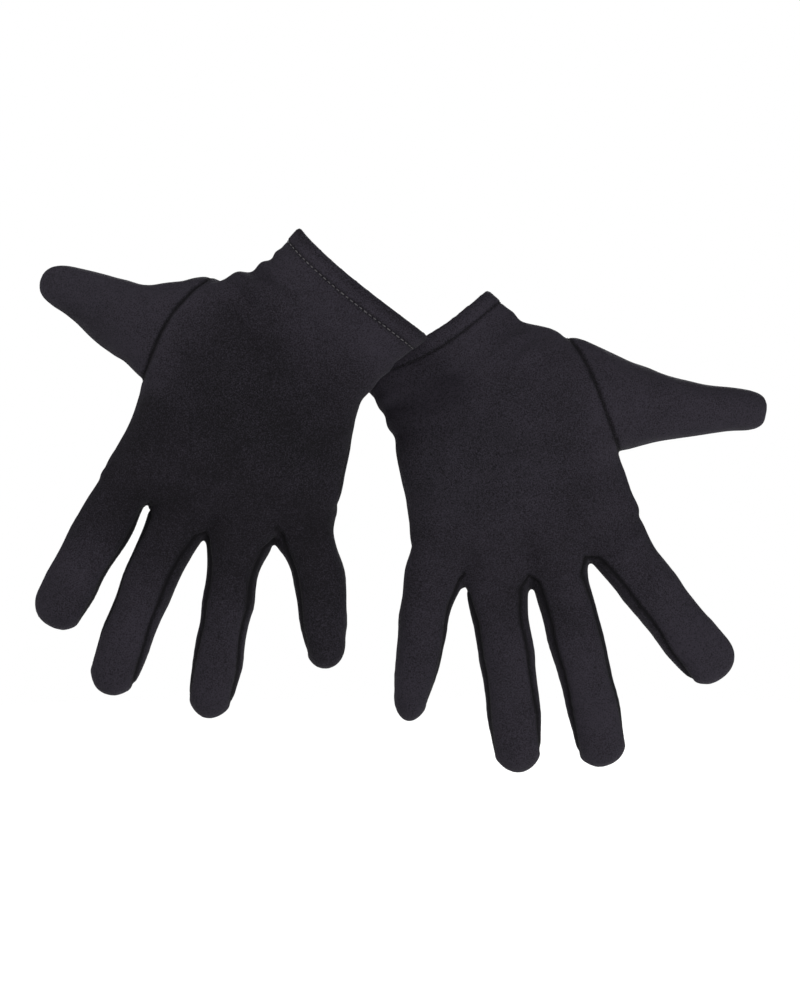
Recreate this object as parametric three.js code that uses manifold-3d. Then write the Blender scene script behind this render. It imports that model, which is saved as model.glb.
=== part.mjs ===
// A pair of short knitted gloves, worn on crossed wrists with the fingers pointing down.
// Every length is in millimetres. The gloves are shaped lying flat, with x across the pair, y towards
// the wrists and z from the palm plane to the back of the hand. The last step stands the pair up, so
// that the fingers point to -Z and the backs of the hands face -Y.
import * as THREE from "three";
import { mergeVertices } from "three/addons/utils/BufferGeometryUtils.js";
import Module from "manifold-3d";

const wasm = await Module();
wasm.setup();

const CLOTH = 1.0; // thickness of the single cloth
const HEM_CLOTH = 2.0; // thickness of the turned hem, two layers
const HEM_WIDTH = 7.0;
const SEAM_GAP = 0.3; // room between two neighbouring pieces of cloth
const SINK = 0.8; // how far a rounded palm side would pass the palm plane before it is flattened
const HAND_SIDES = 20;
const DIGIT_SIDES = 12;
const SQUARENESS = 2.6; // exponent of the rounded cross-sections: 2 is an ellipse
const HINGE_REACH = 12; // from the crotch of a finger to its hinge
const HINGE_DEPTH = 6; // from the palm plane to a finger's hinge
const FINGER_BEND = 73; // degrees that the notch under a finger's hinge leaves free
const THUMB_BEND = 48; // the same for a thumb
const THUMB_HINGE_RISE = 8; // from the thumb's own palm side to its hinge
const SIDE_STRIP = 5.2; // half the height of a side strip at the finger's root
const MID_DEPTH = 7.7; // middle of a finger's thickness
const WRIST = [8.9, 72.5, 9.7]; // middle of the right cuff's mouth, the origin of the part

// Each row of a hand gives the thumb-side edge, the little-finger-side edge, the height of its palm
// side above the palm plane, and its thickness.
const LEFT = {
  side: "left",
  colour: 0x1f1d22,
  rows: [
    [-41.8, 112.1, 11.2, 66.5, 25.0, 27],
    [-57.0, 97.6, -1.7, 56.0, 22.0, 28],
    [-71.8, 92.4, -10.0, 47.8, 18.5, 30],
    [-87.9, 87.2, -17.6, 37.9, 13.5, 31.5],
    [-98.6, 70.7, -19.3, 28.7, 9.0, 32],
    [-108.1, 51.5, -20.6, 21.2, 5.0, 32],
    [-113.8, 33.1, -23.2, 11.2, 2.0, 31],
    [-122.5, 17.1, -26.6, -0.6, 0.3, 29],
    [-127.9, 7.0, -28.8, -10.0, -SINK, 27],
    [-119.0, -2.0, -35.0, -15.0, -SINK, 23.5],
  ],
  thumbSeam: [-79.2, 92.9, -107.8, 50.5],
  thumb: {
    name: "thumb", root: [-93.5, 71.7], lean: -108.5, length: 63, rise: 9,
    stations: [
      [-10, 25, 25, 14, 28],
      [5, 19, 25.5, 10.5, 27.5],
      [17, 13.6, 20.3, 7.5, 25],
      [29, 12.4, 17.2, 4.5, 22],
      [40, 11.8, 12.5, 2, 19.5],
      [50, 10.6, 8.4, 0.6, 17.5],
      [58, 8, 6, 0.9, 14],
    ],
  },
  fingers: [
    { name: "index", root: [-117.5, 1.2], lean: -30.4, length: 62,
      flare: 2.6, shaft: 11.2, tip: 10.8, sides: [1] },
    { name: "middle", root: [-96.1, -11.9], lean: -22.9, length: 76,
      flare: 3.2, shaft: 11.0, tip: 10.4, sides: [-1, 1] },
    { name: "ring", root: [-68.8, -19.5], lean: -9.6, length: 74.4,
      flare: 3.4, shaft: 10.5, tip: 10.0, sides: [-1, 1] },
    { name: "little", root: [-37.6, -14.6], lean: 5.8, length: 58.3,
      flare: 2.4, shaft: 10.4, tip: 8.8, sides: [-1] },
  ],
};
const RIGHT = {
  side: "right",
  colour: 0x29262b,
  rows: [
    [37.3, 88.4, -19.5, 56.5, -SINK, 21],
    [47.5, 78.2, -12.5, 44.0, -SINK, 23],
    [55.1, 73.6, -6.8, 35.8, -SINK, 24.5],
    [67.9, 69.3, -2.4, 25.0, -SINK, 28],
    [77.6, 55.3, -1.3, 16.3, -SINK, 30],
    [85.7, 36.7, 0.0, 10.4, -SINK, 31],
    [92.5, 19.7, 2.1, 1.1, -SINK, 30],
    [97.6, 3.6, 4.2, -10.0, -SINK, 28.5],
    [102.3, -9.1, 4.7, -22.7, -SINK, 27],
    [94.0, -19.0, 11.0, -31.0, -SINK, 23.5],
  ],
  thumbSeam: [70.6, 68.7, 92.6, 20.5],
  thumb: {
    name: "thumb", root: [81.6, 44.6], lean: 83.9, length: 74.6, rise: 0,
    stations: [
      [-12, 24, 21, -SINK, 28],
      [0, 25, 19.6, -SINK, 28],
      [13, 22.9, 15.9, -SINK, 26],
      [30, 16.7, 12, -SINK, 22.5],
      [47, 12.2, 9.6, -SINK, 19],
      [60, 9.6, 9.3, -SINK, 17],
      [70, 7, 7, 0.6, 13.5],
    ],
  },
  fingers: [
    { name: "index", root: [90.7, -19.6], lean: 39.5, length: 70.6,
      flare: 2.6, shaft: 11.9, tip: 11.0, sides: [-1] },
    { name: "middle", root: [68.2, -33.3], lean: 13.1, length: 82.9,
      flare: 2.4, shaft: 11.1, tip: 10.5, sides: [1, -1] },
    { name: "ring", root: [40.9, -38.9], lean: 7.0, length: 77.5,
      flare: 3.2, shaft: 11.3, tip: 10.6, sides: [1, -1] },
    { name: "little", root: [14.5, -32.5], lean: -10.2, length: 62.8,
      flare: 2.6, shaft: 9.9, tip: 8.2, sides: [1] },
  ],
};

// ---- Solids ----

function toManifold(geometry) {
  const plain = new THREE.BufferGeometry().setAttribute("position", geometry.getAttribute("position"));
  if (geometry.index) plain.setIndex(geometry.index);
  const merged = mergeVertices(plain, 1e-4);
  return new wasm.Manifold(new wasm.Mesh({
    numProp: 3,
    vertProperties: new Float32Array(merged.attributes.position.array),
    triVerts: new Uint32Array(merged.index.array),
  }));
}

// The largest body of a solid, without the specks that a cut can leave.
function largest(solid) {
  return solid.decompose().reduce((best, body) => (body.volume() > best.volume() ? body : best));
}

function toMesh(solid, name, colour) {
  const made = solid.getMesh();
  const geometry = new THREE.BufferGeometry();
  geometry.setAttribute("position", new THREE.BufferAttribute(new Float32Array(made.vertProperties), 3));
  geometry.setIndex(new THREE.BufferAttribute(new Uint32Array(made.triVerts), 1));
  geometry.computeVertexNormals();
  const mesh = new THREE.Mesh(geometry, new THREE.MeshStandardMaterial({ color: colour, roughness: 0.95 }));
  mesh.name = name;
  return mesh;
}

// A closed body through rings of equal point count, each end closed on the point given for it.
function loft(rings, startPoint, endPoint) {
  const n = rings[0].length;
  const positions = rings.flat(2).concat(startPoint, endPoint);
  const start = rings.length * n;
  const end = start + 1;
  const faces = [];
  for (let k = 0; k < n; k++) {
    const next = (k + 1) % n;
    faces.push(start, next, k);
    for (let r = 0; r + 1 < rings.length; r++) {
      const a = r * n, b = (r + 1) * n;
      faces.push(a + k, a + next, b + next, a + k, b + next, b + k);
    }
    const last = (rings.length - 1) * n;
    faces.push(end, last + k, last + next);
  }
  const geometry = new THREE.BufferGeometry();
  geometry.setAttribute("position", new THREE.Float32BufferAttribute(positions, 3));
  geometry.setIndex(faces);
  const solid = toManifold(geometry);
  if (solid.volume() >= 0) return solid;
  for (let i = 0; i < faces.length; i += 3) [faces[i + 1], faces[i + 2]] = [faces[i + 2], faces[i + 1]];
  geometry.setIndex(faces);
  return toManifold(geometry);
}

// A rounded cross-section between two edge points, flattened where it would pass the palm plane.
function section(edgeA, edgeB, bottom, thickness, sides, floor) {
  const middle = [(edgeA[0] + edgeB[0]) / 2, (edgeA[1] + edgeB[1]) / 2];
  const half = [(edgeB[0] - edgeA[0]) / 2, (edgeB[1] - edgeA[1]) / 2];
  const power = 2 / SQUARENESS;
  const points = [];
  for (let k = 0; k < sides; k++) {
    const angle = (2 * Math.PI * (k + 0.5)) / sides;
    const c = Math.sign(Math.cos(angle)) * Math.abs(Math.cos(angle)) ** power;
    const s = Math.sign(Math.sin(angle)) * Math.abs(Math.sin(angle)) ** power;
    const z = bottom + (thickness / 2) * (1 + s);
    points.push([middle[0] + half[0] * c, middle[1] + half[1] * c, Math.max(z, floor)]);
  }
  return points;
}

// Moves both edge points towards each other by an inset.
function drawIn(a, b, inset) {
  const width = Math.hypot(b[0] - a[0], b[1] - a[1]);
  const d = [((b[0] - a[0]) * inset) / width, ((b[1] - a[1]) * inset) / width];
  return [[a[0] + d[0], a[1] + d[1]], [b[0] - d[0], b[1] - d[1]]];
}

function handSolid(glove, inset) {
  const floor = inset;
  const rings = glove.rows.map((row) => {
    const [a, b] = drawIn([row[0], row[1]], [row[2], row[3]], inset);
    return section(a, b, row[4] + inset, row[5] - 2 * inset, HAND_SIDES, floor);
  });
  if (inset > 0) rings.unshift(rings[0].map((p, k) => p.map((v, i) => v + (v - rings[1][k][i]) * 0.4)));
  const centre = (ring) => ring.reduce((sum, p) => sum.map((v, i) => v + p[i] / ring.length), [0, 0, 0]);
  return loft(rings, centre(rings[0]), centre(rings[rings.length - 1]));
}

// The frame of a digit: u runs to its tip, v across it, both in the palm plane.
function axes(digit) {
  const lean = THREE.MathUtils.degToRad(digit.lean);
  return { u: [Math.sin(lean), -Math.cos(lean)], v: [Math.cos(lean), Math.sin(lean)] };
}

function place(digit, reach, across, z) {
  const { u, v } = axes(digit);
  return [digit.root[0] + reach * u[0] + across * v[0], digit.root[1] + reach * u[1] + across * v[1], z];
}

// Stations of a finger: reach, half width to each side, height of the palm side, thickness.
// The root spreads towards each neighbouring finger, to meet it in the crotch.
function fingerStations(finger) {
  const { length, flare, shaft, tip, sides } = finger;
  const spread = (side, amount) => shaft + (sides.includes(side) ? amount : 1.2);
  return [
    [-14, spread(-1, 4.5), spread(1, 4.5), -SINK, 21.5],
    [0, spread(-1, flare), spread(1, flare), -SINK, 20.5],
    [9, shaft, shaft, -SINK, 18],
    [length * 0.55, shaft, shaft, -SINK, 17],
    [length - 11, tip, tip, -SINK, 16],
    [length - 3.5, tip * 0.7, tip * 0.7, 2, 11],
  ];
}

function digitSolid(digit, inset) {
  const stations = digit.stations || fingerStations(digit);
  const rings = stations.map(([reach, minus, plus, bottom, thickness]) => {
    const back = reach > digit.length - 14 ? inset * 0.6 : 0;
    const a = place(digit, reach - back, inset - minus, 0);
    const b = place(digit, reach - back, plus - inset, 0);
    return section(a, b, bottom + inset, thickness - 2 * inset, DIGIT_SIDES, inset);
  });
  const first = stations[0], last = stations[stations.length - 1];
  const height = (s) => s[3] + s[4] / 2;
  return loft(rings, place(digit, first[0], 0, height(first)),
    place(digit, digit.length - inset * 1.2, (last[2] - last[1]) / 2, height(last)));
}

// A prism over a closed outline of [along, z] pairs, seen across a direction in the palm plane.
function prism(origin, along, across, outline, from, to) {
  const shape = new THREE.Shape(outline.map(([a, z]) => new THREE.Vector2(a, z)));
  const geometry = new THREE.ExtrudeGeometry(shape, { depth: to - from, bevelEnabled: false, steps: 1 });
  geometry.deleteAttribute("normal");
  geometry.deleteAttribute("uv");
  const matrix = new THREE.Matrix4().set(
    along[0], 0, across[0], origin[0] + across[0] * from,
    along[1], 0, across[1], origin[1] + across[1] * from,
    0, 1, 0, 0,
    0, 0, 0, 1);
  geometry.applyMatrix4(matrix);
  const solid = toManifold(geometry);
  if (solid.volume() > 0) return solid;
  const count = geometry.attributes.position.count;
  const flipped = geometry.index ? [...geometry.index.array] : [...Array(count).keys()];
  for (let i = 0; i < flipped.length; i += 3) {
    [flipped[i + 1], flipped[i + 2]] = [flipped[i + 2], flipped[i + 1]];
  }
  geometry.setIndex(flipped);
  return toManifold(geometry);
}

// A flat-sided block over a plan outline of [x, y] pairs between two heights.
function block(outline, low, high) {
  const points = outline.map(([x, y]) => new THREE.Vector2(x, y));
  if (THREE.ShapeUtils.isClockWise(points)) points.reverse();
  const shape = new THREE.Shape(points);
  const geometry = new THREE.ExtrudeGeometry(shape, { depth: high - low, bevelEnabled: false, steps: 1 });
  geometry.deleteAttribute("normal");
  geometry.deleteAttribute("uv");
  geometry.translate(0, 0, low);
  return toManifold(geometry);
}

// The room beyond a hinge: straight above the hinge, slanted below it by half the bend. The room kept
// for a digit (gap over 0) slants forwards, and the room cleared of its hand (gap under 0) slants
// backwards, which leaves a notch for the digit to fold into.
function beyondHinge(origin, along, across, depth, bend, from, to, gap) {
  const slant = Math.sign(gap) * Math.tan(THREE.MathUtils.degToRad(bend / 2));
  const low = -20, far = 140, high = 80;
  return prism(origin, along, across, [
    [gap, high], [gap, depth], [gap + (depth - low) * slant, low], [far, low], [far, high],
  ], from, to);
}

// ---- Parts of one glove ----

function fingerRoom(finger, gap, margin) {
  const { u, v } = axes(finger);
  const hinge = place(finger, HINGE_REACH, 0, 0);
  const reach = finger.shaft + margin;
  return beyondHinge(hinge, u, v, HINGE_DEPTH, FINGER_BEND, -reach, reach, gap);
}

function thumbRoom(glove, gap) {
  const [x0, y0, x1, y1] = glove.thumbSeam;
  const length = Math.hypot(x1 - x0, y1 - y0);
  const across = [(x1 - x0) / length, (y1 - y0) / length];
  const outward = glove.side === "left" ? [across[1], -across[0]] : [-across[1], across[0]];
  const depth = glove.thumb.rise + THUMB_HINGE_RISE;
  return beyondHinge([x0, y0], outward, across, depth, THUMB_BEND, -12, length + 25, gap);
}

// The wedge that a side strip takes out of one side of a finger, narrowing to the tip.
function stripWedge(finger, side, grow) {
  const { u, v } = axes(finger);
  const half = SIDE_STRIP + grow;
  const reach = finger.length - 4 + 4 * grow;
  const outline = [[-4, MID_DEPTH - half], [reach, MID_DEPTH - 1.2 - grow], [reach, MID_DEPTH + 1.2 + grow],
    [-4, MID_DEPTH + half]];
  const across = side > 0 ? v : [-v[0], -v[1]];
  return prism(finger.root, u, across, outline, 2.5 - grow, 30);
}

const STRIP_NAMES = ["near", "far"]; // near the thumb, far from it

function fingerPieces(glove, finger) {
  const room = fingerRoom(finger, SEAM_GAP / 2, 8);
  const shell = digitSolid(finger, 0).subtract(digitSolid(finger, CLOTH)).intersect(room);
  const pieces = {};
  let rest = shell;
  finger.sides.forEach((side, i) => {
    const label = finger.name === "index" ? "far" : STRIP_NAMES[i];
    pieces[finger.name + "_strip_" + label] = shell.intersect(stripWedge(finger, side, -SEAM_GAP / 2));
    rest = rest.subtract(stripWedge(finger, side, SEAM_GAP / 2));
  });
  if (finger.name === "index") {
    pieces.index_stall = rest;
    return pieces;
  }
  const { u, v } = axes(finger);
  const slit = SEAM_GAP / 2;
  const slab = (low, high) => {
    return prism(finger.root, u, v, [[-5, low], [120, low], [120, high], [-5, high]], -30, 30);
  };
  pieces[finger.name + "_back"] = rest.intersect(slab(MID_DEPTH + slit, 60));
  pieces[finger.name + "_front"] = rest.intersect(slab(-20, MID_DEPTH - slit));
  return pieces;
}

// The thin slit of the side seam, from the cuff edge to the little finger's hinge.
function sideSlit(glove) {
  const little = glove.fingers[3];
  const outer = glove.side === "left" ? 1 : -1;
  const edges = glove.rows.slice(0, -1).map((row) => {
    const width = Math.hypot(row[2] - row[0], row[3] - row[1]);
    const out = [(row[2] - row[0]) / width, (row[3] - row[1]) / width];
    return { at: [row[2], row[3]], out, z: Math.max(row[4] + row[5] / 2, MID_DEPTH) };
  });
  const { v } = axes(little);
  for (const reach of [0, HINGE_REACH + 8]) {
    const at = place(little, reach, outer * little.shaft, 0);
    edges.push({ at: [at[0], at[1]], out: [v[0] * outer, v[1] * outer], z: MID_DEPTH });
  }
  const rings = edges.map(({ at, out, z }) => [[-9, 0.5], [9, 0.5], [9, -0.5], [-9, -0.5]]
    .map(([reach, half]) => [at[0] + out[0] * reach, at[1] + out[1] * reach, z + half * SEAM_GAP]));
  const middle = (ring) => ring[0].map((_, i) => (ring[0][i] + ring[1][i] + ring[2][i] + ring[3][i]) / 4);
  return loft(rings, middle(rings[0]), middle(rings[rings.length - 1]));
}

// The crotch piece between two neighbouring fingers, where two side strips meet.
function webRegion(glove, first, second, grow) {
  const side = glove.side === "left" ? 1 : -1;
  const a = place(first, HINGE_REACH + 6, side * (2.5 - grow), 0);
  const b = place(second, HINGE_REACH + 6, -side * (2.5 - grow), 0);
  const a0 = place(first, 2, side * (first.shaft - 3), 0);
  const b0 = place(second, 2, -side * (second.shaft - 3), 0);
  const tip = [(a0[0] + b0[0]) / 2, (a0[1] + b0[1]) / 2 + 12 + grow];
  const outline = [[tip[0], tip[1]], [a[0], a[1]], [b[0], b[1]]];
  return block(outline, MID_DEPTH - SIDE_STRIP - grow, MID_DEPTH + SIDE_STRIP + grow);
}

function cuffRoom(glove, from, to) {
  const [x0, y0, x1, y1] = glove.rows[0];
  const length = Math.hypot(x1 - x0, y1 - y0);
  const across = [(x1 - x0) / length, (y1 - y0) / length];
  const inward = glove.side === "left" ? [across[1], -across[0]] : [-across[1], across[0]];
  const down = inward[1] < 0 ? inward : [-inward[0], -inward[1]];
  return prism([x0, y0], down, across, [[from, -20], [to, -20], [to, 90], [from, 90]], -30, length + 30);
}

function glovePieces(glove) {
  const digits = [glove.thumb, ...glove.fingers];
  const outer = digits.reduce((sum, digit) => sum.add(digitSolid(digit, 0)), handSolid(glove, 0));
  const inner = digits.reduce((sum, digit) => sum.add(digitSolid(digit, CLOTH)), handSolid(glove, CLOTH));
  const pieces = {};

  const hemRoom = cuffRoom(glove, -20, HEM_WIDTH - SEAM_GAP / 2);
  pieces.cuff_hem = handSolid(glove, 0).intersect(hemRoom).subtract(handSolid(glove, HEM_CLOTH));

  const shell = outer.subtract(inner);
  pieces.thumb = digitSolid(glove.thumb, 0).subtract(digitSolid(glove.thumb, CLOTH))
    .intersect(thumbRoom(glove, SEAM_GAP / 2));
  let trank = shell.subtract(cuffRoom(glove, -20, HEM_WIDTH + SEAM_GAP / 2))
    .subtract(thumbRoom(glove, -SEAM_GAP / 2))
    .subtract(sideSlit(glove));
  for (const finger of glove.fingers) {
    trank = trank.subtract(fingerRoom(finger, -SEAM_GAP / 2, 1.5));
    Object.assign(pieces, fingerPieces(glove, finger));
  }
  for (let i = 0; i < 3; i++) {
    const [first, second] = [glove.fingers[i], glove.fingers[i + 1]];
    const web = trank.intersect(webRegion(glove, first, second, -SEAM_GAP / 2));
    pieces["web_" + first.name + "_" + second.name] = web;
    trank = trank.subtract(webRegion(glove, first, second, SEAM_GAP / 2));
  }
  pieces.trank = trank;
  return pieces;
}

// ---- The pair ----

const pair = new THREE.Group();
pair.rotation.x = Math.PI / 2;
pair.position.set(-WRIST[0], WRIST[2], -WRIST[1]);
for (const glove of [RIGHT, LEFT]) {
  for (const [name, solid] of Object.entries(glovePieces(glove))) {
    pair.add(toMesh(largest(solid), glove.side + "_" + name, glove.colour));
  }
}
const root = new THREE.Group();
root.add(pair);
export default root;
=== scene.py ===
"""A pair of short knitted gloves on crossed wrists, fingers pointing down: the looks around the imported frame.

Each glove is shaped as one skin, lying flat, in millimetres: x across the pair, y towards the wrists and z
from the palm plane to the back of the hand. The skin is then cut along its seams into the cloth pieces that
it is sewn from, each piece gets its thickness, and the pair is stood up in the frame.
"""

import itertools
import math

import bmesh
import bpy
import numpy as np
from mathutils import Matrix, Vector


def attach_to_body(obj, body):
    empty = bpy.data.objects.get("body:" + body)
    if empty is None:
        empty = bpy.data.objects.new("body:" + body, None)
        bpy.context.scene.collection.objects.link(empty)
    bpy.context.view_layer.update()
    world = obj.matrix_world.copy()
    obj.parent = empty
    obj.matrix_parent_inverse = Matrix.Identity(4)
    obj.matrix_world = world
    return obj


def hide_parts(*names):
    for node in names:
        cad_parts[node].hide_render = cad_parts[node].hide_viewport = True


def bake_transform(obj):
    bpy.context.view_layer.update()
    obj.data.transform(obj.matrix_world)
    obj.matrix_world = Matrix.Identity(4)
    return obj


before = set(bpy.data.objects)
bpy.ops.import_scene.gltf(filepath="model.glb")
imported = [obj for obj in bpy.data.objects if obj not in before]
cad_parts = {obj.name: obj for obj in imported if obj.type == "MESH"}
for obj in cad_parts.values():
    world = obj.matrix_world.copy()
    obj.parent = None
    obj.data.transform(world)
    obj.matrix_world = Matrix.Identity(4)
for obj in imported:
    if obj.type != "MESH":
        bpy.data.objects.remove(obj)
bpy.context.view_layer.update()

MM = 0.001
WRIST = np.array([8.9, 72.5, 9.7])  # middle of the right cuff's mouth, the frame's origin
SINK = 0.8  # how far the palm sides reach past the palm plane
MID_Z = 7.9  # middle of a finger's thickness
CLOTH = 0.9  # thickness of the single cloth
HEM_CLOTH = 1.9  # thickness of the turned hem
HEM_WIDTH = 7.0
HEM_ROUND = 0.75  # how far the fold at the cuff's edge stands out
VOXEL = 1.0
HAND_RING = {"sides": 72, "squareness": 2.55}
DIGIT_RING = {"sides": 48, "squareness": 2.25}
FINGER_START = -22.0  # where a finger's body begins inside the hand, from its root
TIP_LENGTH = 12.0  # the rounded end of a finger
KNUCKLE_ROUND = 9.0  # length of the hand's rounded end, inside the finger roots
UNEVEN_BROAD, UNEVEN_FINE = 0.38, 0.16  # rises of the cloth where it lies unevenly
KNUCKLE_RISE, KNUCKLE_BEHIND = 1.5, 17.0  # height of a knuckle, and its place behind the finger's root
FINGER_JOINTS = ((0.34, 0.55), (0.68, 0.35))  # share of the finger's length, and rise of the cloth
CREASE_RISE, PULL_RISE = 0.14, 0.22  # creases at the finger joints, and slanting pulls along a finger
WRIST_ROLL = 0.62  # rise of the slack rolls at the wrist
CROTCH_FAN, CROTCH_DENT = 0.22, 0.5  # folds that fan out from a crotch, and the dent behind it
THUMB_PULL, THUMB_ROLL = 0.24, 0.11  # folds beside the thumb's seam, and on the thumb
STRIP_GROOVE, SIDE_GROOVE, HEM_GROOVE = 0.75, 0.30, 0.38  # depths of the seams
HEM_STANDS, EDGE_ROUND = 0.40, 0.5  # how far the hem stands proud, and how far its edge is rounded back
WEB_REACH = 6.0  # how far around a crotch the skin gives way when the web is drawn back
PALM_BULGE = 7.0  # how far the thumb's seam bows into the hand on the palm side
SWAY_AT = (0.15, 0.30, 0.50, 0.70, 0.90)  # shares of a digit's length where its sway is given
ROOT_IN_HAND = 26.0  # how far into the hand a finger's axis reaches from its root
PAST_HAND = 60.0  # how far the knuckle line runs past the outer webs
FIELD_LIMIT = 9.0  # past this distance a cutting line doesn't matter
CLOSE_SHARE = 0.28  # a vertex nearer to a cutting line than this share of an edge is moved onto it
WALE, COURSE = 0.00072, 0.00054  # distance between knit columns and between rows, in metres
BLACK = (0.0112, 0.0098, 0.0134)
STITCH_VARIES = (0.86, 1.1)  # smallest and largest share of a stitch's size
HEM_STITCH = {"Pitch": 0.0024, "Length": 0.0015, "Thickness": 0.00042, "Lift": 0.00022, "Seed": 3}
HAND_STITCH = {"Pitch": 0.0021, "Length": 0.0013, "Thickness": 0.00034, "Lift": 0.0001, "Seed": 7}
FINGER_STITCH = {**HAND_STITCH, "Lift": -0.00005, "Seed": 9}
FLOOR_RADIUS, FLOOR_HEIGHT = 1.6, -0.262

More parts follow.
